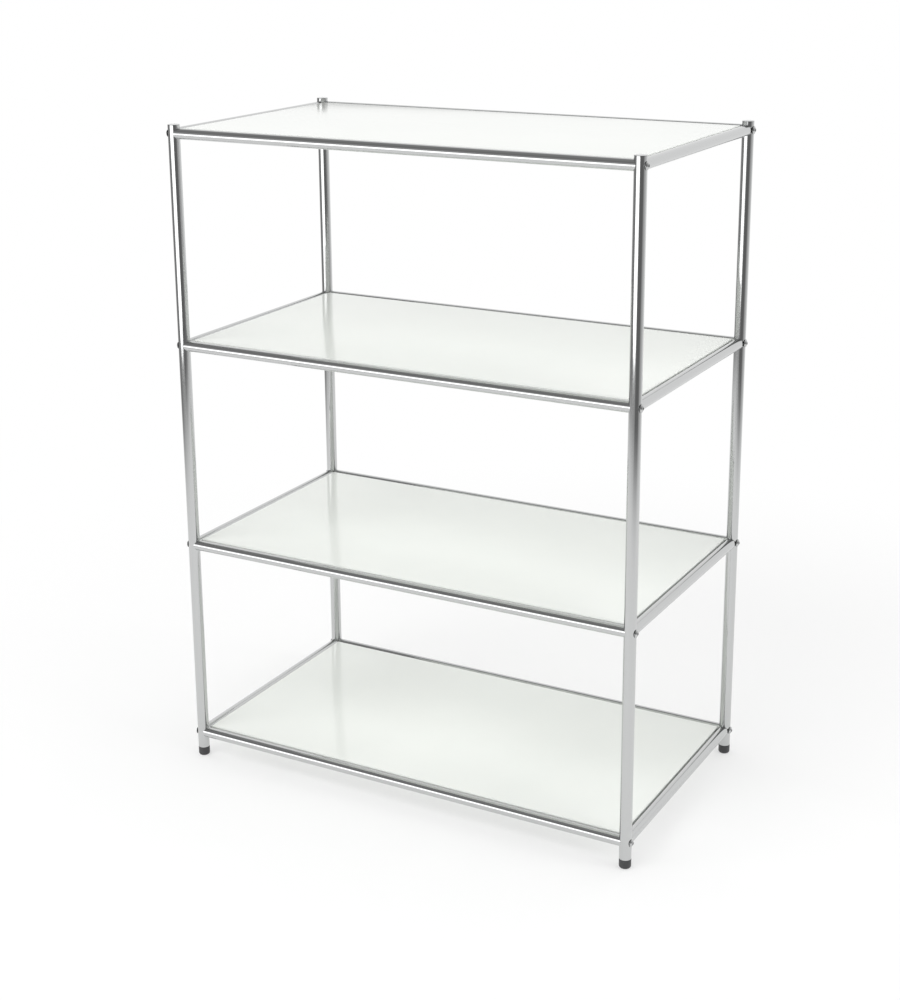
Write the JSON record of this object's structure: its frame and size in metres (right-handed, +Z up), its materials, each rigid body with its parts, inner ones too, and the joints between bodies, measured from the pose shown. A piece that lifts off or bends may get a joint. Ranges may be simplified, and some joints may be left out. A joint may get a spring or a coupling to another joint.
{
  "type": "metal bookcase",
  "caption": "Free-standing open bookcase of round chromed tube with white sheet-steel shelves set inside bolted frames of rails, on black levelling feet.",
  "frame": {"origin": "on the floor under the middle of the bookcase", "axes": "+Z up, the front faces -Y, +X to the right seen from the front"},
  "size_m": [0.8568, 0.47, 1.14],
  "materials": {
    "chrome": "polished plating",
    "white_enamel": "gloss",
    "zinc_steel": "zinc plated",
    "black_plastic": "satin"
  },
  "bodies": {
    "frame": {"post_front_left": "chrome", "post_cap_front_left": "chrome", "foot_insert_front_left": "zinc_steel", "post_front_right": "chrome", "post_cap_front_right": "chrome", "foot_insert_front_right": "zinc_steel", "post_rear_left": "chrome", "post_cap_rear_left": "chrome", "foot_insert_rear_left": "zinc_steel", "post_rear_right": "chrome", "post_cap_rear_right": "chrome", "foot_insert_rear_right": "zinc_steel", "front_rail_bottom": "chrome", "rear_rail_bottom": "chrome", "left_rail_bottom": "chrome", "right_rail_bottom": "chrome", "shelf_bottom": "white_enamel", "shelf_stiffener_bottom": "white_enamel", "shelf_tabs_bottom": "chrome", "rail_plugs_bottom": "zinc_steel", "rail_bolts_bottom": "chrome", "front_rail_lower": "chrome", "rear_rail_lower": "chrome", "left_rail_lower": "chrome", "right_rail_lower": "chrome", "shelf_lower": "white_enamel", "shelf_stiffener_lower": "white_enamel", "shelf_tabs_lower": "chrome", "rail_plugs_lower": "zinc_steel", "rail_bolts_lower": "chrome", "front_rail_upper": "chrome", "rear_rail_upper": "chrome", "left_rail_upper": "chrome", "right_rail_upper": "chrome", "shelf_upper": "white_enamel", "shelf_stiffener_upper": "white_enamel", "shelf_tabs_upper": "chrome", "rail_plugs_upper": "zinc_steel", "rail_bolts_upper": "chrome", "front_rail_top": "chrome", "rear_rail_top": "chrome", "left_rail_top": "chrome", "right_rail_top": "chrome", "shelf_top": "white_enamel", "shelf_stiffener_top": "white_enamel", "shelf_tabs_top": "chrome", "rail_plugs_top": "zinc_steel", "rail_bolts_top": "chrome"},
    "foot_front_left": {"foot_front_left": "black_plastic", "foot_stem_front_left": "zinc_steel"},
    "foot_front_right": {"foot_front_right": "black_plastic", "foot_stem_front_right": "zinc_steel"},
    "foot_rear_left": {"foot_rear_left": "black_plastic", "foot_stem_rear_left": "zinc_steel"},
    "foot_rear_right": {"foot_rear_right": "black_plastic", "foot_stem_rear_right": "zinc_steel"}
  },
  "joints": [
    {"name": "foot_front_left_turn", "type": "hinge", "parent": "frame", "child": "foot_front_left", "pos_m": [-0.415, -0.225, 0], "axis": [0, 0, -1], "range_deg": [0, 2880]},
    {"name": "foot_front_right_turn", "type": "hinge", "parent": "frame", "child": "foot_front_right", "pos_m": [0.415, -0.225, 0], "axis": [0, 0, -1], "range_deg": [0, 2880]},
    {"name": "foot_rear_left_turn", "type": "hinge", "parent": "frame", "child": "foot_rear_left", "pos_m": [-0.415, 0.225, 0], "axis": [0, 0, -1], "range_deg": [0, 2880]},
    {"name": "foot_rear_right_turn", "type": "hinge", "parent": "frame", "child": "foot_rear_right", "pos_m": [0.415, 0.225, 0], "axis": [0, 0, -1], "range_deg": [0, 2880]}
  ]
}
